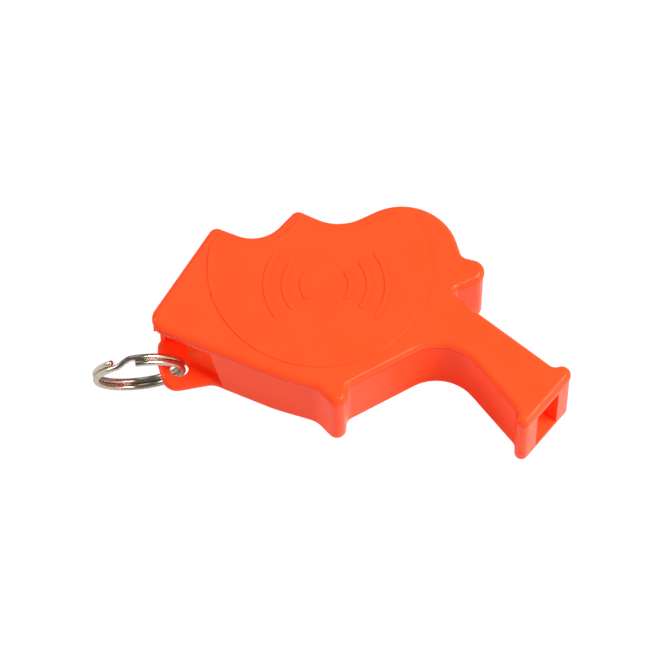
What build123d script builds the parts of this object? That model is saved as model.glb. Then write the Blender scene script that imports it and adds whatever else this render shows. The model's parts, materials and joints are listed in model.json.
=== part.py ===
from build123d import *
import os
from math import atan2, cos, degrees, hypot, pi, radians, sin, sqrt

# A flat pea whistle in two moulded halves, with a split ring in its lanyard tab.
# The frame: +X runs along the mouthpiece towards the mouth, +Y towards the
# scalloped grip side, +Z up. The origin lies on the flat underside. Millimetres.

# ---------------------------------------------------------------- sizes of the case
HEIGHT = 14.0            # underside to the top of the cover plate
COVER_T = 1.4            # cover plate
COVER_EDGE_R = 1.15      # round of its upper rim
FLOOR_T = 1.6            # floor of the moulding
FLOOR_EDGE_R = 1.0       # round of its lower rim
WALL_T = 1.8             # outer side walls
SEAM_STEP = 0.15         # the moulding stands this far inside the cover's edge
SEAM_R = 0.2             # round of both edges where the halves meet
MIN_CELL = 8.0           # hollows with a smaller plan area than this are left solid
GATE_D = 4.0             # shallow dimple in the underside, round the moulding gate
GATE_DEEP = 0.35
GATE_STUB_D = 1.2        # what is left of the gate inside it
GATE_STUB_H = 0.2
GATE_X = -4.65
GATE_Y = 2.4
LABEL_R = 18.5           # raised round field on the cover
LABEL_RISE = 0.2
LABEL_EDGE_R = 0.15
FIELD_MARGIN = 0.6
BITE = 0.2               # parts that are joined reach this far into each other
PAST = 1.0               # cutting tools start and end this far outside the material

# ---------------------------------------------------------------- outline, seen from above
# The outline is a belt pulled round pegs, in clockwise order. Each peg is
# (x, y, radius): a positive radius is a rounded corner with material inside it,
# a negative one is a hollow cut into the edge.
MOUTH_X = 39.7           # mouth end of the blow tube
BELLY_X = -4.65          # round belly on the near side
BELLY_Y = 2.4
BELLY_R = 21.0
OUTLINE = [
    (-18.25, -20.15, 2.7),           # rear corner, above the lanyard tab
    (-21.8, -3.4, 1.45),             # rear grip ridge
    (-20.75, 4.55, -5.9),            # first finger hollow
    (-13.3, 7.5, 1.45),              # middle grip ridge
    (-12.5, 17.05, -7.7),            # second finger hollow
    (4.35, 12.9, 9.4),               # round hood over the sound outlet
    (12.35, 20.55, -1.45),           # notch beside the hood
    (15.05, 17.8, 2.15),             # small ridge
    (16.5, 13.5, -1.05),             # inner corner at the blow tube
    (MOUTH_X - 3.95, 13.45, -1.3),   # foot of the far tooth rib
    (MOUTH_X - 1.5, 12.05, 1.5),     # far tooth rib
    (MOUTH_X - 1.3, 1.75, 1.3),      # near tooth rib
    (MOUTH_X - 3.95, 0.95, -1.3),    # foot of the near tooth rib
    (23.9, -2.3, -7.2),              # throat between the blow tube and the case
    (14.3, -11.3, -1.5),             # foot of the near ridge
    (12.15, -13.9, 1.7),             # near ridge
    (9.05, -19.45, -4.3),            # sweep from the near ridge to the belly
    (BELLY_X, BELLY_Y, BELLY_R),     # belly
]

# ---------------------------------------------------------------- air path
CHAMBER_X = -1.6         # round pea chamber
CHAMBER_Y = 0.5
CHAMBER_R = 10.5
CHAMBER_WALL = 1.6
DUCT_NEAR_Y = 4.0        # near side of the blow tube's bore at the mouth
DUCT_FAR_Y = 9.6         # far side of the bore at the mouth
SLOT_H = 1.3             # height of the windway slot where the bore ends
NOZZLE_X = 6.8           # the slot ends here and the window begins
SLOT_L = 6.0             # the windway slot keeps its height over this length
WINDOW_L = 6.2           # from the slot to the sharp lip
WINDOW_DEEP = 3.0        # the window reaches this far into the chamber
DUCT_WALL = 1.5
LIP_RISE = 1.9           # the lip's ramp climbs this much
LIP_RUN = 4.2            # over this length
OUTLET_X0 = -4.6         # the sound outlet spans this much of the hood
OUTLET_X1 = 12.0
OUTLET_OUT_Y = 31.0

# ---------------------------------------------------------------- cover details
PLUG_H = 1.0             # tongue under the cover that closes the bore's top
PLUG_PLAY = 0.08         # its clearance all round
PLUG_X0 = 15.0
ARC_COUNT = 3            # raised sound-wave arcs on each side of the chamber, a plain mark
ARC_R0 = 4.0
ARC_PITCH = 3.0
ARC_W = 0.9
ARC_RISE = 0.15
ARC_SPAN = 70.0          # degrees
ARC_TURN = 39.0          # direction one set faces, in degrees from +X; the other faces back

# ---------------------------------------------------------------- pea
PEA_HEADROOM = 2.0       # room left above the pea
PEA_FLOAT = 0.1          # gap under it
PEA_SIDE_GAP = 0.4       # gap between it and the chamber wall
PEA_ANGLE = 250.0        # where it lies in the chamber, degrees from +X

# ---------------------------------------------------------------- lanyard tab and pocket
TAB_LIFT = 0.2           # the tab stands clear of the resting face
TAB_T = 2.0
TAB_EDGE_R = 0.9
TAB_OUTLINE = [
    (-20.75, -16.5, 0.6),
    (-20.75, -20.5, 1.6),
    (-18.5, -23.3, 1.8),
    (-14.0, -26.5, 2.6),
    (-8.9, -20.35, 3.0),
    (-3.4, -18.85, 1.2),
    (-6.0, -15.0, 1.2),
]
HOLE_X = -14.98
HOLE_Y = -21.85
HOLE_PLAY = 1.2          # hole diameter less two wires side by side
HOLE_EDGE_R = 0.35
LIP_H = 1.0              # band of the moulding left above the pocket
POCKET_BACK = [          # pocket edge from the near wall to the rear wall
    (-7.4, -18.75),
    (-14.55, -19.85),
    (-14.9, -17.6),
    (-19.9, -17.4),
]
POCKET_OUT_Y = -30.0
POCKET_LEAN = 1.9        # the near wall's end leans this much over the pocket's height
SCOOP_FOOT_Y = -19.6     # the rear wall's end face at the tab
SCOOP_TOP_Y = -22.7      # and under the cover
SCOOP_FOOT_RISE = 2.6    # upright stretch above the tab
SCOOP_REACH_OUT = 6.0    # the scoop runs from this far behind the pocket
SCOOP_REACH_IN = 0.5     # to this far inside it

# ---------------------------------------------------------------- split ring
WIRE_D = 1.0
RING_MEAN_R = 7.2
RING_Z = 2.6             # height of the ring's centre
RING_HEADING = 226.5     # direction from the hole to the ring's centre, degrees from +X
RING_LEAN = 12.0         # the ring's top leans out by this angle
RING_PULL = 0.55         # wire centre stands this far inboard of the hole's axis
RING_SHIFT = 0.25        # and this far along the ring's own axis
RING_TURN_GAP = 0.02     # between the two turns
JOGGLE_AT = 69.0         # middle of the crossing from turn to turn, degrees round the ring
JOGGLE_SPAN = 24.0
END_GAP = 4.0            # each wire end stops this many degrees before the crossing

# ---------------------------------------------------------------- values worked out
COVER_Z = HEIGHT - COVER_T
INNER_H = COVER_Z - FLOOR_T
TAB_TOP = TAB_LIFT + TAB_T
PEA_D = INNER_H - PEA_HEADROOM
PEA_ORBIT_R = CHAMBER_R - PEA_D / 2 - PEA_SIDE_GAP
HOLE_D = 2 * WIRE_D + HOLE_PLAY
POCKET_TOP = COVER_Z - LIP_H
SLOT_TOP_Y = CHAMBER_Y + CHAMBER_R


def belt(pegs):
    """Closed outline that runs clockwise round the pegs, smooth everywhere."""
    leave = []
    arrive = []
    for i, (x, y, r) in enumerate(pegs):
        x2, y2, r2 = pegs[(i + 1) % len(pegs)]
        run = sqrt((x2 - x) ** 2 + (y2 - y) ** 2 - (r2 - r) ** 2)
        heading = atan2(y2 - y, x2 - x) + atan2(r2 - r, run)
        side_x = sin(heading)
        side_y = -cos(heading)
        leave.append((x - r * side_x, y - r * side_y))
        arrive.append((x2 - r2 * side_x, y2 - r2 * side_y))
    edges = []
    for i, (x, y, r) in enumerate(pegs):
        start = arrive[i - 1]
        end = leave[i]
        a0 = atan2(start[1] - y, start[0] - x)
        a1 = atan2(end[1] - y, end[0] - x)
        sweep = -((a0 - a1) % (2 * pi)) if r > 0 else (a1 - a0) % (2 * pi)
        middle = (x + abs(r) * cos(a0 + sweep / 2), y + abs(r) * sin(a0 + sweep / 2))
        edges.append(ThreePointArc(start, middle, end))
        target = arrive[i]
        if hypot(target[0] - end[0], target[1] - end[1]) > 1e-6:
            edges.append(Line(end, target))
    return make_face(Wire(edges))


def grown(pegs, amount):
    """The same pegs for an outline moved outwards (or inwards, if negative)."""
    return [(x, y, r + amount) for x, y, r in pegs]


def rounded_polygon(corners):
    points = [(x, y) for x, y, r in corners]
    radii = [r for x, y, r in corners]
    return make_face(FilletPolyline(*points, radius=radii, close=True))


def slab(face, z0, z1):
    """A flat face made solid between two heights."""
    return Pos(0, 0, z0) * extrude(face, z1 - z0)


def rim(solid, z):
    """The outer edges of a plate at one height."""
    level_faces = solid.faces().filter_by(Plane.XY).group_by(Axis.Z)[z]
    return level_faces.sort_by(SortBy.AREA)[-1].outer_wire().edges()


def duct_face(grow=0.0, x0=NOZZLE_X, x1=MOUTH_X + PAST):
    """Plan of the blow tube's bore: it narrows from the mouth to the windway slot."""
    slot_x = NOZZLE_X + SLOT_L

    def near(x):
        share = max(0.0, (x - slot_x) / (MOUTH_X - slot_x))
        return SLOT_TOP_Y - SLOT_H + share * (DUCT_NEAR_Y - SLOT_TOP_Y + SLOT_H) - grow

    def far(x):
        share = max(0.0, (x - slot_x) / (MOUTH_X - slot_x))
        return SLOT_TOP_Y + share * (DUCT_FAR_Y - SLOT_TOP_Y) + grow

    stations = [x0] + [slot_x] * (x0 < slot_x) + [x1]
    lower = [(x, near(x)) for x in stations]
    upper = [(x, far(x)) for x in reversed(stations)]
    return make_face(Polyline(*lower, *upper, close=True))


def cover():
    """Upper half: a flat plate with a round rim, a tongue below and a raised field."""
    outline = belt(OUTLINE)
    plate = slab(outline, COVER_Z, HEIGHT)
    plate = fillet(rim(plate, -1), COVER_EDGE_R)
    plate = fillet(rim(plate, 0), SEAM_R)
    inside = offset(outline, -COVER_EDGE_R - FIELD_MARGIN, kind=Kind.INTERSECTION)
    field = Pos(BELLY_X, BELLY_Y) * Circle(LABEL_R) & inside
    raised = slab(field, HEIGHT - BITE, HEIGHT + LABEL_RISE)
    plate += fillet(rim(raised, -1), LABEL_EDGE_R)
    for i in range(ARC_COUNT):
        for turn in (ARC_TURN, ARC_TURN + 180):
            arc = wave_arc(ARC_R0 + i * ARC_PITCH, turn)
            plate += slab(arc, HEIGHT, HEIGHT + LABEL_RISE + ARC_RISE)
    tongue = duct_face(grow=-PLUG_PLAY, x0=PLUG_X0, x1=MOUTH_X - SEAM_STEP)
    plate += slab(tongue, COVER_Z - PLUG_H, COVER_Z + BITE)
    return plate


def wave_arc(radius, facing):
    """One flat arc of the sound-wave mark, with round ends."""
    inner = radius - ARC_W / 2
    outer = radius + ARC_W / 2

    def at(r, turn):
        a = radians(facing + turn)
        return (CHAMBER_X + r * cos(a), CHAMBER_Y + r * sin(a))

    half = ARC_SPAN / 2
    round_end = degrees(ARC_W / 2 / radius)
    edges = [
        ThreePointArc(at(outer, -half), at(outer, 0), at(outer, half)),
        ThreePointArc(at(outer, half), at(radius, half + round_end), at(inner, half)),
        ThreePointArc(at(inner, half), at(inner, 0), at(inner, -half)),
        ThreePointArc(at(inner, -half), at(radius, -half - round_end), at(outer, -half)),
    ]
    return make_face(Wire(edges))


def body():
    """Lower half: floor, side walls, pea chamber, blow tube, windway and tab."""
    outline = belt(grown(OUTLINE, -SEAM_STEP))
    inside = offset(outline, -WALL_T, kind=Kind.INTERSECTION)
    block = slab(outline, 0, COVER_Z)
    block = fillet(rim(block, 0), FLOOR_EDGE_R)
    block = fillet(rim(block, -1), SEAM_R)

    chamber = Pos(CHAMBER_X, CHAMBER_Y) * Circle(CHAMBER_R)
    ring = Pos(CHAMBER_X, CHAMBER_Y) * Circle(CHAMBER_R + CHAMBER_WALL)
    duct = duct_face()
    backing = offset(pocket_plan(), WALL_T, kind=Kind.INTERSECTION)
    walls = (ring + duct_face(grow=DUCT_WALL) + backing) & inside
    window = window_face()
    air = (chamber & inside) + duct + window
    cells = [cell for cell in (inside - walls).faces() if cell.area > MIN_CELL]
    hollow = Sketch() + cells + (air & outline)
    lip_x = NOZZLE_X - WINDOW_L
    ramp = make_face(Polyline((lip_x, SLOT_TOP_Y), (lip_x - LIP_RUN, SLOT_TOP_Y + LIP_RISE),
                              (lip_x, SLOT_TOP_Y + LIP_RISE + PAST), close=True))
    hollow += ramp
    hollow += outlet_face()
    block -= slab(hollow, FLOOR_T, COVER_Z)
    block -= pocket()
    block += tab()
    block -= tab_hole()
    block -= gate_dimple()
    return block


def window_face():
    """Opening of the chamber where the air jet crosses to the lip."""
    low = SLOT_TOP_Y - WINDOW_DEEP
    high = SLOT_TOP_Y + CHAMBER_WALL + PAST
    x0 = NOZZLE_X - WINDOW_L
    return make_face(Polyline((x0, low), (NOZZLE_X, low), (NOZZLE_X, high), (x0, high), close=True))


def outlet_face():
    """The hood is open towards +Y between the notch and the second finger hollow."""
    low = SLOT_TOP_Y + CHAMBER_WALL
    return make_face(Polyline((OUTLET_X0, low), (OUTLET_X1, low), (OUTLET_X1, OUTLET_OUT_Y),
                              (OUTLET_X0, OUTLET_OUT_Y), close=True))


def tab():
    plate = slab(rounded_polygon(TAB_OUTLINE), TAB_LIFT, TAB_TOP)
    edges = rim(plate, -1) + rim(plate, 0)
    return fillet(edges, TAB_EDGE_R)


def tab_hole():
    """Round hole with rounded edges, as one turned tool."""
    r = HOLE_D / 2
    wide = r + HOLE_EDGE_R
    low = TAB_LIFT
    high = TAB_TOP
    line = [
        Line((0, low - PAST), (wide, low - PAST)),
        Line((wide, low - PAST), (wide, low)),
        RadiusArc((wide, low), (r, low + HOLE_EDGE_R), HOLE_EDGE_R),
        Line((r, low + HOLE_EDGE_R), (r, high - HOLE_EDGE_R)),
        RadiusArc((r, high - HOLE_EDGE_R), (wide, high), HOLE_EDGE_R),
        Line((wide, high), (wide, high + PAST)),
        Line((wide, high + PAST), (0, high + PAST)),
        Line((0, high + PAST), (0, low - PAST)),
    ]
    profile = Plane.XZ * make_face(Wire(line))
    return Pos(HOLE_X, HOLE_Y) * revolve(profile, Axis.Z)


def gate_dimple():
    """Shallow round dimple in the underside with the stub of the gate in it."""
    dish = slab(Circle(GATE_D / 2), -BITE, GATE_DEEP)
    stub = slab(Circle(GATE_STUB_D / 2), GATE_DEEP - GATE_STUB_H, GATE_DEEP)
    return Pos(GATE_X, GATE_Y) * (dish - stub)


def pocket_plan():
    first_x = POCKET_BACK[0][0]
    last_x = POCKET_BACK[-1][0]
    return make_face(Polyline((first_x, POCKET_OUT_Y), *POCKET_BACK, (last_x, POCKET_OUT_Y),
                              close=True))


def pocket():
    """Room for the ring under the cover's rear corner, open towards -Y."""
    x1 = POCKET_BACK[0][0]
    x4 = POCKET_BACK[-1][0]
    room = slab(pocket_plan(), -PAST, POCKET_TOP)
    side = make_face(Plane.XZ * Polyline((x4, -PAST), (x1, -PAST), (x1, TAB_TOP),
                                         (x1 - POCKET_LEAN, POCKET_TOP), (x4, POCKET_TOP),
                                         close=True))
    room &= extrude(side, -POCKET_OUT_Y)
    return room + scoop()


def scoop():
    """S-shaped hollow that sets back the rear wall's end below the cover's corner."""
    z0 = -PAST
    z1 = TAB_TOP + SCOOP_FOOT_RISE
    half_y = (SCOOP_TOP_Y - SCOOP_FOOT_Y) / 2
    half_z = (POCKET_TOP - z1) / 2
    foot = (SCOOP_FOOT_Y, z1)
    middle = (SCOOP_FOOT_Y + half_y, z1 + half_z)
    top = (SCOOP_TOP_Y, POCKET_TOP)
    line = [
        Line((POCKET_OUT_Y, z0), (SCOOP_FOOT_Y, z0)),
        Line((SCOOP_FOOT_Y, z0), foot),
        TangentArc(foot, middle, tangent=(0, 1)),
        TangentArc(top, middle, tangent=(0, -1)),
        Line(top, (POCKET_OUT_Y, POCKET_TOP)),
        Line((POCKET_OUT_Y, POCKET_TOP), (POCKET_OUT_Y, z0)),
    ]
    profile = Plane.YZ * make_face(Wire(line))
    x4 = POCKET_BACK[-1][0]
    return Pos(x4 - SCOOP_REACH_OUT, 0, 0) * extrude(profile, SCOOP_REACH_OUT + SCOOP_REACH_IN)


def pea():
    a = radians(PEA_ANGLE)
    x = CHAMBER_X + PEA_ORBIT_R * cos(a)
    y = CHAMBER_Y + PEA_ORBIT_R * sin(a)
    return Pos(x, y, FLOOR_T + PEA_FLOAT + PEA_D / 2) * Sphere(PEA_D / 2)


def ring_frame():
    """Plane of the split ring: x away from the hole, z along the ring's own axis."""
    h = radians(RING_HEADING)
    out = Vector(cos(h), sin(h), 0)
    level = Vector(0, 0, 1).cross(out)
    up = Vector(0, 0, 1) * cos(radians(RING_LEAN)) + level * sin(radians(RING_LEAN))
    normal = out.cross(up)
    centre = Vector(HOLE_X, HOLE_Y, RING_Z) + out * (RING_MEAN_R - RING_PULL)
    return Plane(origin=centre + level * RING_SHIFT, x_dir=out, z_dir=normal)


def split_ring():
    """Two turns of round wire side by side, joined by a joggle."""
    offset = (WIRE_D + RING_TURN_GAP) / 2
    sweep_angle = 360 - JOGGLE_SPAN - END_GAP

    def wire_point(angle, side):
        a = radians(angle)
        return Vector(RING_MEAN_R * cos(a), RING_MEAN_R * sin(a), side * offset)

    def turn(angle, side, direction):
        arc = CenterArc((0, 0), RING_MEAN_R, angle, direction * sweep_angle)
        arc = Pos(0, 0, side * offset) * arc
        section = Plane(origin=arc @ 0, z_dir=arc % 0) * Circle(WIRE_D / 2)
        return sweep(section, path=arc)

    a0 = JOGGLE_AT - JOGGLE_SPAN / 2
    a1 = JOGGLE_AT + JOGGLE_SPAN / 2
    first = turn(a1, 1, 1)
    second = turn(a0, -1, -1)
    t0 = Vector(-sin(radians(a0)), cos(radians(a0)), 0)
    t1 = Vector(-sin(radians(a1)), cos(radians(a1)), 0)
    path = Spline(wire_point(a0, -1), wire_point(JOGGLE_AT, 0), wire_point(a1, 1), tangents=(t0, t1))
    section = Plane(origin=path @ 0, z_dir=path % 0) * Circle(WIRE_D / 2)
    crossing = sweep(section, path=path)
    coil = first + second + crossing
    return ring_frame().location * coil


def save(name, shape):
    shape.label = name
    export_step(shape, os.path.join("parts", name + ".step"))
    print(name, round(shape.volume, 1), shape.is_valid, len(shape.solids()))


os.makedirs("parts", exist_ok=True)
save("cover_plate", cover())
save("body_moulding", body())
save("pea", pea())
save("split_ring", split_ring())
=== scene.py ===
# %% [markdown]
# # A flat pea whistle with a split ring
# The whistle is two glossy orange mouldings welded together along a seam, a loose ball inside and a
# nickel-plated split ring in the corner tab. The two mouldings are exact CAD shapes, so they stay and
# only get their finish here. The ring and the ball are rebuilt in finer meshes, because a cut wire end or
# a moulding line is easier to shape vertex by vertex.

# %% Load the frame
import json
from math import cos, pi, radians, sin

import bmesh
import bpy
from mathutils import Matrix, Vector, noise


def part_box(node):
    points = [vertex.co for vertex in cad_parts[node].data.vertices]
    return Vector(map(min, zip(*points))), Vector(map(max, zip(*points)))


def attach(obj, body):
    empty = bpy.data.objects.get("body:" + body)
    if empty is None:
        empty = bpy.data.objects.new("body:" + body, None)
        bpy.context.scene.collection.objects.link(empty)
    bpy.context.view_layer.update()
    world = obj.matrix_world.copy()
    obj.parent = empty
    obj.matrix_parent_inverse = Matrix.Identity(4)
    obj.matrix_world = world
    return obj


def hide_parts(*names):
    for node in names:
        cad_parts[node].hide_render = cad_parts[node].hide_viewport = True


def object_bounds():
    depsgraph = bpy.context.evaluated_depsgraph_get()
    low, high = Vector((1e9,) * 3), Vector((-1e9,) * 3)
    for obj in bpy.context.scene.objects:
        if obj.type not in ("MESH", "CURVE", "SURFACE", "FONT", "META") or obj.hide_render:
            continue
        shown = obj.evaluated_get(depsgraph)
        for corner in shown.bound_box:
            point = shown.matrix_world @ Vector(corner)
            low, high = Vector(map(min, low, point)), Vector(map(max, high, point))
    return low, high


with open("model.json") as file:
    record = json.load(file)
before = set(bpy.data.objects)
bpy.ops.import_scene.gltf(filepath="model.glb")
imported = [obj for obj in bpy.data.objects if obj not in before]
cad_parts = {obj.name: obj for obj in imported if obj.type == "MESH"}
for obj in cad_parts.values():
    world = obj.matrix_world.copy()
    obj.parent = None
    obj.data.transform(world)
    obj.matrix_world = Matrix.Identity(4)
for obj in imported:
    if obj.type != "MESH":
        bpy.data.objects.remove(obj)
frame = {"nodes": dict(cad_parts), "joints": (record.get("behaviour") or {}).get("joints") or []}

cad_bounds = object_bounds()
MM = 0.001
scene = bpy.context.scene

# %% [markdown]
# ## Camera
# A long lens far away keeps the outline of the flat case almost free of perspective, as in a catalogue
# picture. Its place is given by two angles, a small roll and a distance, which are easier to think about
# than x, y and z.

# %% Place the camera
AZIMUTH = 39.0
ELEVATION = 62.302
ROLL = -0.114
CAMERA_DISTANCE = 0.75
SENSOR = 36
LENS = 243.609


def camera_axes(azimuth, elevation, roll):
    a, e, t = radians(azimuth), radians(elevation), radians(roll)
    back = Vector((sin(a) * cos(e), -cos(a) * cos(e), sin(e)))
    right = Vector((cos(a), sin(a), 0))
    up = back.cross(right)
    return right * cos(t) + up * sin(t), up * cos(t) - right * sin(t), back


def place_camera():
    right, up, back = camera_axes(AZIMUTH, ELEVATION, ROLL)
    data = bpy.data.cameras.new("camera")
    data.lens = LENS
    data.sensor_width = SENSOR
    data.clip_start = 10 * MM
    camera = bpy.data.objects.new("camera", data)
    turn = Matrix((right, up, back)).transposed().to_4x4()
    camera.matrix_world = Matrix.Translation(back * CAMERA_DISTANCE) @ turn
    scene.collection.objects.link(camera)
    scene.camera = camera
    return camera


camera = place_camera()
print("camera at", [round(v, 3) for v in camera.matrix_world.translation], "lens", round(camera.data.lens, 1))

# %% [markdown]
# ## Writing shaders as sums
# A shader is easier to read as arithmetic than as a web of nodes. `Wire` wraps one socket: adding,
# subtracting or multiplying wires makes the Math nodes, and `node` makes any other node. Its settings
# come first, because some of them change which sockets the node has.

# %% The socket class


class Wire:
    """One socket of a node tree. Arithmetic on wires adds Math nodes to the tree."""

    def __init__(self, tree, socket=None):
        self.tree = tree
        self.socket = socket

    def node(self, kind, settings=None, values=None, out=0):
        """Adds a node, sets its settings, then its sockets, and gives one output as a wire."""
        made = self.tree.nodes.new(kind)
        for name, value in (settings or {}).items():
            setattr(made, name, value)
        for name, value in (values or {}).items():
            if isinstance(value, Wire):
                self.tree.links.new(value.socket, made.inputs[name])
            else:
                made.inputs[name].default_value = value
        return Wire(self.tree, made.outputs[out] if made.outputs else None)

    def math(self, operation, first, second=0.0):
        return self.node("ShaderNodeMath", {"operation": operation}, {0: first, 1: second})

    def __add__(self, other):
        return self.math("ADD", self, other)

    def __radd__(self, other):
        return self.math("ADD", other, self)

    def __sub__(self, other):
        return self.math("SUBTRACT", self, other)

    def __rsub__(self, other):
        return self.math("SUBTRACT", other, self)

    def __mul__(self, other):
        return self.math("MULTIPLY", self, other)

    def __rmul__(self, other):
        return self.math("MULTIPLY", other, self)


def start_material(name):
    material = bpy.data.materials.new(name)
    material.use_nodes = True
    material.node_tree.nodes.clear()
    return material, Wire(material.node_tree)


def close_material(material, shader):
    shader.node("ShaderNodeOutputMaterial", values={"Surface": shader})
    print("finish", material.name, "has", len(material.node_tree.nodes), "nodes")
    return material


# %% [markdown]
# ### Masks that every finish uses
# Real surfaces are never one value. Three helpers give the variation: `cloud` is soft noise, `level`
# turns a range of it into a mask from 0 to 1, and `tint` mixes two colours by a mask. Positions are the
# object's own, in metres, so the size of each detail can be given in millimetres.

# %% Noise, range and colour helpers


def position(w):
    return w.node("ShaderNodeTexCoord", out="Object")


def stretched(w, place, scale):
    return w.node("ShaderNodeVectorMath", {"operation": "MULTIPLY"}, {0: place, 1: scale})


def shifted(w, place, offset):
    return w.node("ShaderNodeVectorMath", {"operation": "ADD"}, {0: place, 1: offset})


def cloud(w, place, size, detail=2.0):
    """Soft noise from 0 to 1 whose blobs are about size across, in metres."""
    values = {"Vector": place, "Scale": 1 / size, "Detail": detail}
    return w.node("ShaderNodeTexNoise", values=values, out="Fac")


def level(w, value, low, high):
    """0 below low, 1 above high, and smooth between."""
    settings = {"interpolation_type": "SMOOTHSTEP"}
    return w.node("ShaderNodeMapRange", settings, {"Value": value, "From Min": low, "From Max": high})


def tint(w, mask, first, second):
    values = {"Factor": mask, 6: first, 7: second}
    return w.node("ShaderNodeMix", {"data_type": "RGBA"}, values, out=2)


def pressed(w, height, depth, strength=1.0):
    """A bump whose full range is depth deep, in metres."""
    return w.node("ShaderNodeBump", values={"Height": height, "Distance": depth, "Strength": strength})


# %% [markdown]
# ## Orange plastic
# The halves are injection moulded from a bright orange, and a weak red emission, painted light, makes
# them glow a little so that their shade stays red. Polished steel leaves the surface glossy, but it is
# never a mirror: the skin waves a little where the melt cooled unevenly, and the pigment runs in faint
# flow lines away from the gate. A thin darker line along the weld is painted shade of the seam, and handling
# leaves hairline scratches and a film that dulls some patches. Each effect is one mask, and the masks are
# small, so that the plastic still reads as one even colour from a distance.

# %% Orange plastic finish
ORANGE = (0.94, 0.0925, 0.0224, 1)
ORANGE_DEEP = (0.92, 0.086, 0.0196, 1)
ORANGE_WORN = (0.95, 0.107, 0.034, 1)
# Painted light: a weak red emission that lifts the orange in its shade, though the plastic is no lamp.
PAINTED_GLOW = (1.0, 0.012, 0.0, 1)
PAINTED_GLOW_STRENGTH = 0.27
# Painted shade: the colour of a thin darker line along the seam where cover and body meet.
SEAM_PAINTED_SHADE = (0.6, 0.024, 0.006, 1)
WELD_HEIGHT = 12.6 * MM


def hairlines(w, place, turn, width):
    """Sparse long scratches that run one way across the surface."""
    along = w.node("ShaderNodeVectorRotate", {"rotation_type": "Z_AXIS"}, {"Vector": place, "Angle": turn})
    streak = cloud(w, stretched(w, along, (0.06, 1.0, 0.3)), width, 1.0)
    patch = cloud(w, place, 9 * MM, 1.0)
    return level(w, streak, 0.66, 0.72) * level(w, patch, 0.45, 0.65)


def orange_plastic(name, offset, gate):
    material, w = start_material(name)
    place = position(w)
    moved = shifted(w, place, offset)
    skin = cloud(w, moved, 7 * MM)
    film = cloud(w, moved, 3.2 * MM, 4.0)
    grain = cloud(w, moved, 0.12 * MM, 3.0)
    from_gate = w.node("ShaderNodeVectorMath", {"operation": "DISTANCE"}, {0: place, 1: gate}, out="Value")
    flow = w.math("SINE", from_gate * 900 + 9 * skin)
    scratch = hairlines(w, moved, 0.5, 0.16 * MM) + hairlines(w, moved, 2.1, 0.12 * MM)
    base = tint(w, level(w, skin + 0.04 * flow, 0.3, 0.7), ORANGE_DEEP, ORANGE)
    worn = tint(w, 0.2 * scratch + 0.15 * level(w, film, 0.55, 0.8), base, ORANGE_WORN)
    # Painted shade along the seam: the colour darkens within half a millimetre of the weld height.
    from_weld = w.math("ABSOLUTE", w.node("ShaderNodeSeparateXYZ", values={0: place}, out="Z") - WELD_HEIGHT)
    seam_shaded = tint(w, 0.8 - 0.8 * level(w, from_weld, 0.15 * MM, 0.5 * MM), worn, SEAM_PAINTED_SHADE)
    rough = 0.13 + 0.05 * level(w, film, 0.4, 0.8) + 0.06 * scratch + 0.02 * grain
    height = 0.5 * skin + 0.01 * grain + 0.004 * flow - 0.015 * scratch
    # The emission below is painted light that keeps the shaded orange red.
    values = {"Base Color": seam_shaded, "Roughness": rough, "Normal": pressed(w, height, 0.03 * MM),
              "Specular IOR Level": 0.11,
              "Emission Color": PAINTED_GLOW, "Emission Strength": PAINTED_GLOW_STRENGTH}
    return close_material(material, w.node("ShaderNodeBsdfPrincipled", values=values))


def refinish(node, material):
    """Gives a CAD piece its finish on the object, so that the CAD mesh stays as it is."""
    slot = frame["nodes"][node].material_slots[0]
    slot.link = "OBJECT"
    slot.material = material
    print(node, "is finished in", material.name)


GATE = (-4.65 * MM, 2.4 * MM, 0.0)
refinish("body_moulding", orange_plastic("moulding_orange", (0.1, 0.2, 0.3), GATE))
refinish("cover_plate", orange_plastic("cover_orange", (0.5, 0.1, 0.7), GATE))

# %% [markdown]
# ## Split ring
# A split ring is one length of round spring wire coiled through nearly two turns. The turns lie side by
# side, and a short slanted stretch, the joggle, carries the wire from one turn to the other, so that each
# cut end tucks in beside it. Here a circle of vertices is walked along that path. At both ends it shrinks
# over three steps, which gives the small burnished chamfer that tumbling leaves on a sheared wire.

# %% Path of the wire
joints = {joint["name"]: joint for joint in frame["joints"]}
HOLE = Vector(joints["ring_swing"]["pos_m"])
WIRE_R = 0.5 * MM
COIL_R = 7.2 * MM
COIL_HEIGHT = 2.6 * MM
COIL_HEADING = radians(226.5)
COIL_LEAN = radians(12.0)
COIL_PULL = 0.55 * MM
COIL_SHIFT = 0.25 * MM
TURN_OFFSET = 0.51 * MM
JOGGLE_FROM = radians(57)
JOGGLE_TO = radians(81)
TURN_SWEEP = radians(332)
WIRE_STEPS = 420
CHAMFER = ((0.0, 0.74), (0.05 * MM, 0.9), (0.13 * MM, 0.985))

outward = Vector((cos(COIL_HEADING), sin(COIL_HEADING), 0))
level_dir = Vector((0, 0, 1)).cross(outward)
upward = Vector((0, 0, 1)) * cos(COIL_LEAN) + level_dir * sin(COIL_LEAN)
coil_axis = outward.cross(upward)
coil_centre = Vector((HOLE.x, HOLE.y, COIL_HEIGHT)) + outward * (COIL_R - COIL_PULL) + level_dir * COIL_SHIFT


def wire_point(angle):
    share = min(1, max(0, (angle - JOGGLE_FROM) / (JOGGLE_TO - JOGGLE_FROM)))
    side = 2 * share * share * (3 - 2 * share) - 1
    spoke = outward * cos(angle) + upward * sin(angle)
    return coil_centre + spoke * COIL_R + coil_axis * side * TURN_OFFSET


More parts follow.
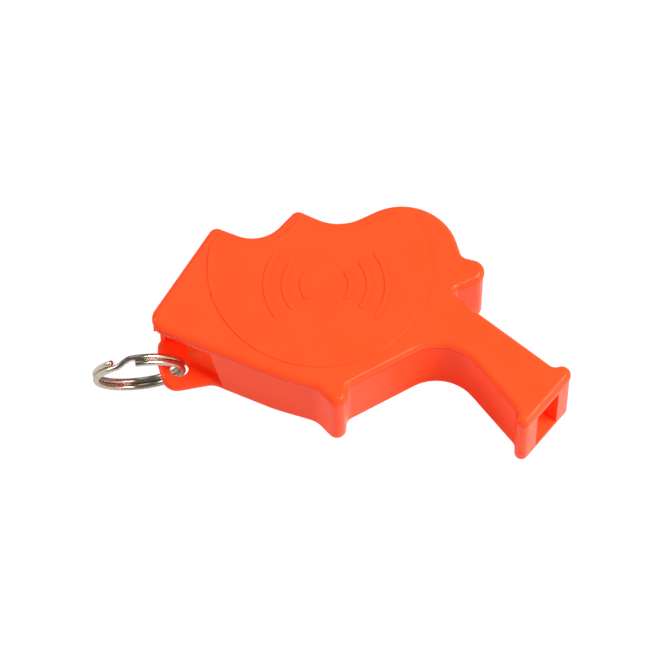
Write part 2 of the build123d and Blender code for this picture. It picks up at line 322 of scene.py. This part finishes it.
def wire_stations():
    """Angle round the coil and relative radius of every ring of vertices."""
    first = JOGGLE_FROM - TURN_SWEEP
    last = JOGGLE_TO + TURN_SWEEP
    step = (last - first) / WIRE_STEPS
    stations = [(first + t / COIL_R, size) for t, size in CHAMFER]
    stations += [(first + step * i, 1.0) for i in range(1, WIRE_STEPS)]
    stations += [(last - t / COIL_R, size) for t, size in reversed(CHAMFER)]
    return stations


print("wire length", round((wire_stations()[-1][0] - wire_stations()[0][0]) * COIL_R / MM, 1), "mm")

# %% Mesh of the ring
RING_SEGMENTS = 24


def link_piece(name, mesh, body, slot, *replaced):
    piece = bpy.data.objects.new(name, mesh)
    scene.collection.objects.link(piece)
    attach(piece, body)
    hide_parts(*replaced)
    print(name, "has", len(mesh.vertices), "vertices and rides on", body)
    return piece


def ring_mesh():
    bm = bmesh.new()
    place = bm.verts.layers.float_vector.new("wire_place")
    loops = []
    nudge = radians(0.2)
    for angle, size in wire_stations():
        centre = wire_point(angle)
        tangent = (wire_point(angle + nudge) - wire_point(angle - nudge)).normalized()
        spoke = (centre - coil_centre).normalized()
        spoke = (spoke - tangent * spoke.dot(tangent)).normalized()
        side = tangent.cross(spoke)
        loop = []
        for k in range(RING_SEGMENTS):
            turn = 2 * pi * k / RING_SEGMENTS
            vert = bm.verts.new(centre + (spoke * cos(turn) + side * sin(turn)) * WIRE_R * size)
            vert[place] = Vector((angle * COIL_R / WIRE_R, cos(turn), sin(turn)))
            loop.append(vert)
        loops.append(loop)
    for one, two in zip(loops, loops[1:]):
        for k in range(RING_SEGMENTS):
            m = (k + 1) % RING_SEGMENTS
            bm.faces.new((one[k], one[m], two[m], two[k])).smooth = True
    bm.faces.new(list(reversed(loops[0])))
    bm.faces.new(loops[-1])
    bmesh.ops.recalc_face_normals(bm, faces=bm.faces)
    mesh = bpy.data.meshes.new("split_ring_wire")
    bm.to_mesh(mesh)
    bm.free()
    return mesh


ring_piece = link_piece("split_ring_wire", ring_mesh(), "ring", "nickel_steel", "split_ring")

# %% [markdown]
# ### Nickel plate
# Spring wire is drawn through a die, which leaves very fine lines along it, and the bright nickel over it
# keeps them. Handling adds duller rubbed patches and the plating yellows a little where it is thin. The
# lines follow the wire, so the mesh carries each vertex's place along and around the wire, and the noise
# is stretched along the first of these.

# %% Nickel finish


def nickel_plate():
    material, w = start_material("bright_nickel")
    wire = w.node("ShaderNodeAttribute", {"attribute_name": "wire_place"}, out="Vector")
    place = position(w)
    drawn = cloud(w, stretched(w, wire, (0.02, 1.0, 1.0)), 0.09, 2.0)
    rubbed = cloud(w, place, 1.6 * MM, 3.0)
    thin = cloud(w, shifted(w, place, (0.3, 0.1, 0.2)), 4 * MM, 1.0)
    plate = tint(w, level(w, thin, 0.4, 0.7), (0.60, 0.54, 0.46, 1), (0.63, 0.55, 0.44, 1))
    colour = tint(w, 0.5 * level(w, rubbed, 0.45, 0.8), plate, (0.50, 0.45, 0.39, 1))
    rough = 0.18 + 0.14 * level(w, rubbed, 0.4, 0.75) + 0.05 * drawn
    values = {"Base Color": colour, "Metallic": 1.0, "Roughness": rough,
              "Normal": pressed(w, drawn, 0.006 * MM)}
    return close_material(material, w.node("ShaderNodeBsdfPrincipled", values=values))


ring_piece.data.materials.append(nickel_plate())

# %% [markdown]
# ## Ball
# The ball that makes the trill is a hard moulded bead. It comes out of a two-part mould, so a fine ridge
# runs round its middle, with the stub of the gate on it, and rolling in the chamber leaves it matt with
# small dents. A subdivided sphere is only the start: every vertex is moved to shape ridge, stub and dents.

# %% Ball mesh
BALL_RIDGE = 0.05 * MM
DENT_DEPTH = 0.04 * MM


def ball_mesh():
    low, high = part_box("pea")
    centre = (low + high) / 2
    radius = (high - low).x / 2 - BALL_RIDGE
    tilt = Matrix.Rotation(radians(35), 3, "X")
    bm = bmesh.new()
    bmesh.ops.create_icosphere(bm, subdivisions=5, radius=1.0)
    for vert in bm.verts:
        unit = vert.co.normalized()
        ridge = BALL_RIDGE * max(0, 1 - abs(unit.z) / 0.02)
        stub = 0.6 * BALL_RIDGE * max(0, 1 - (unit - Vector((1, 0, 0))).length / 0.12)
        dent = DENT_DEPTH * max(0, noise.noise(unit * 4.0))
        vert.co = centre + tilt @ unit * (radius + min(BALL_RIDGE, ridge + stub) - dent)
    for face in bm.faces:
        face.smooth = True
    mesh = bpy.data.meshes.new("trill_ball")
    bm.to_mesh(mesh)
    bm.free()
    return mesh


def ball_finish():
    material, w = start_material("matt_orange_ball")
    place = position(w)
    scuff = cloud(w, place, 0.8 * MM, 4.0)
    colour = tint(w, level(w, scuff, 0.4, 0.7), (0.85, 0.05, 0.01, 1), (0.9, 0.09, 0.03, 1))
    values = {"Base Color": colour, "Roughness": 0.38 + 0.2 * scuff, "Normal": pressed(w, scuff, 0.02 * MM)}
    return close_material(material, w.node("ShaderNodeBsdfPrincipled", values=values))


ball_piece = link_piece("trill_ball", ball_mesh(), "pea", "pea_plastic", "pea")
ball_piece.data.materials.append(ball_finish())

# %% [markdown]
# ## Light table
# The ring hangs a few millimetres lower than the flat underside, so the case lies on a low white riser
# and the ring reaches down over its edge to the floor. The riser is smaller than the case, and from above
# the case hides it. The floor is one wide pale disc that runs out of every view.

# %% Floor and riser
FLOOR_Z = cad_bounds[0].z
RISER_CORNERS = ((-19.2, -18.3), (-19.6, -5), (-11, 4), (-7, 14), (4, 19), (12, 15), (13, 2), (8.5, -12),
                 (-6, -16.5))
RISER_ROUND = 0.6 * MM
RISER_GAP = 0.02 * MM
FLOOR_RADIUS = 4.0
FLOOR_GLOW = 0.85


def board_finish(name, glow):
    """Pale card. Where it glows, the camera sees it evenly white, as a sheet lit from behind."""
    material, w = start_material(name)
    fibre = cloud(w, position(w), 1.5 * MM, 4.0)
    values = {"Base Color": tint(w, fibre, (0.80, 0.80, 0.80, 1), (0.82, 0.82, 0.82, 1)), "Roughness": 0.7,
              "Specular IOR Level": 0.2}
    card = w.node("ShaderNodeBsdfPrincipled", values=values)
    lit = w.node("ShaderNodeEmission", values={"Strength": 1.15})
    seen = w.node("ShaderNodeLightPath", out="Is Camera Ray")
    return close_material(material, w.node("ShaderNodeMixShader", values={0: glow * seen, 1: card, 2: lit}))


def stage_piece(name, bm, finish):
    mesh = bpy.data.meshes.new(name)
    bm.to_mesh(mesh)
    bm.free()
    mesh.materials.append(finish)
    piece = bpy.data.objects.new(name, mesh)
    scene.collection.objects.link(piece)
    return piece


def flat_face(corners, z):
    bm = bmesh.new()
    bm.faces.new([bm.verts.new((x, y, z)) for x, y in corners])
    return bm


def round_corners(count, radius):
    return [(radius * cos(2 * pi * k / count), radius * sin(2 * pi * k / count)) for k in range(count)]


def riser():
    bm = flat_face([(x * MM, y * MM) for x, y in RISER_CORNERS], FLOOR_Z + RISER_GAP)
    made = bmesh.ops.extrude_face_region(bm, geom=bm.faces[:])["geom"]
    top = [item for item in made if isinstance(item, bmesh.types.BMVert)]
    bmesh.ops.translate(bm, vec=(0, 0, -FLOOR_Z - 2 * RISER_GAP), verts=top)
    edges = [edge for edge in bm.edges if any(v in top for v in edge.verts)]
    bmesh.ops.bevel(bm, geom=edges, offset=RISER_ROUND, segments=4, affect="EDGES")
    bmesh.ops.recalc_face_normals(bm, faces=bm.faces)
    return bm


floor_disc = flat_face(round_corners(96, FLOOR_RADIUS), FLOOR_Z)
stage_piece("floor", floor_disc, board_finish("pale_board", FLOOR_GLOW))
stage_piece("riser", riser(), board_finish("riser_card", 0.0))
print("floor at", round(FLOOR_Z / MM, 2), "mm")

# %% [markdown]
# ## Light
# Bright orange keeps its depth only where it mirrors little white, so the room is dim and the light comes
# from a few soft boxes. The strongest two stand high off the mouth end: they draw the thin streaks along
# the rim there and leave the side of the blow tube in deep red shade. A low box behind the ring fills the
# near wall, and two weak ones open up the mouth and the far side. Each is given by its compass angle, its
# height above the floor in degrees, and its power in watts.

# %% Soft boxes and room
ROOM_GREY = 0.13
BOX_SIZE = 0.4
BOX_DISTANCE = 1.0
SOFT_BOXES = (("mouth_high", 15, 50, 7.4), ("mouth_low", 15, 20, 1.2), ("ring_low", -150, 20, 3.4),
              ("far_right", 45, 50, 4.5), ("far_left", 150, 50, 0.6))


def soft_box(name, azimuth, elevation, power):
    data = bpy.data.lights.new(name, "AREA")
    data.shape = "SQUARE"
    data.size = BOX_SIZE
    data.energy = power
    a, e = radians(azimuth), radians(elevation)
    direction = Vector((cos(a) * cos(e), sin(a) * cos(e), sin(e)))
    lamp = bpy.data.objects.new(name, data)
    lamp.location = direction * BOX_DISTANCE
    lamp.rotation_euler = direction.to_track_quat("Z", "Y").to_euler()
    scene.collection.objects.link(lamp)


for name, azimuth, elevation, power in SOFT_BOXES:
    soft_box(name, azimuth, elevation, power)

world = bpy.data.worlds.new("room")
world.use_nodes = True
backdrop = world.node_tree.nodes["Background"].inputs
backdrop["Color"].default_value = (1, 1, 1, 1)
backdrop["Strength"].default_value = ROOM_GREY
scene.world = world
scene.view_settings.view_transform = "Standard"
